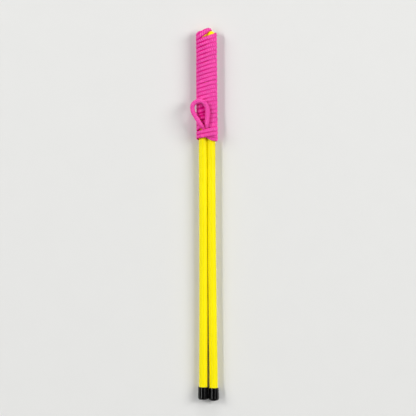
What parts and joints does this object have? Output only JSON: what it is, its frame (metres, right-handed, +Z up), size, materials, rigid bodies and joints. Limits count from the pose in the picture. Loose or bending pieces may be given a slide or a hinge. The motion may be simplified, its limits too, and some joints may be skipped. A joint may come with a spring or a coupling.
{
  "type": "bubble wand",
  "caption": "Giant bubble wand put away: round yellow sticks side by side with black end caps, bound together near the tips by their own pink cord, with a loop left out at the front.",
  "frame": {"origin": "middle of the sticks and caps in plan, on the surface that the wand lies on", "axes": "+X across the sticks, +Y along them towards the bound tips, +Z up from the surface, on the side of the cord's loop"},
  "size_m": [0.0364, 0.4956, 0.0213],
  "materials": {
    "stick": "gloss paint",
    "cap": "gloss",
    "cord": "braided"
  },
  "bodies": {
    "left_stick": {"left_stick": "stick", "cord_left_winding": "cord", "cord_right_winding": "cord", "cord_loop": "cord", "cord_left_tail": "cord", "cord_right_tail": "cord"},
    "right_stick": {"right_stick": "stick"},
    "left_end_cap": {"left_end_cap": "cap"},
    "right_end_cap": {"right_end_cap": "cap"}
  },
  "joints": [
    {"name": "stick_open", "type": "hinge", "parent": "left_stick", "child": "right_stick", "pos_m": [0.00562, 0.239, 0.00877], "axis": [0, -0.0039, 1], "range_deg": [0, 1.5], "deforming": ["cord_left_winding", "cord_right_winding", "cord_loop"]},
    {"name": "left_cap_pull", "type": "slide", "parent": "left_stick", "child": "left_end_cap", "axis": [-0.0028, -1, -0.0039], "range_m": [0, 0.02]},
    {"name": "right_cap_pull", "type": "slide", "parent": "right_stick", "child": "right_end_cap", "axis": [0.0028, -1, -0.0039], "range_m": [-0.0034, 0.02]}
  ]
}
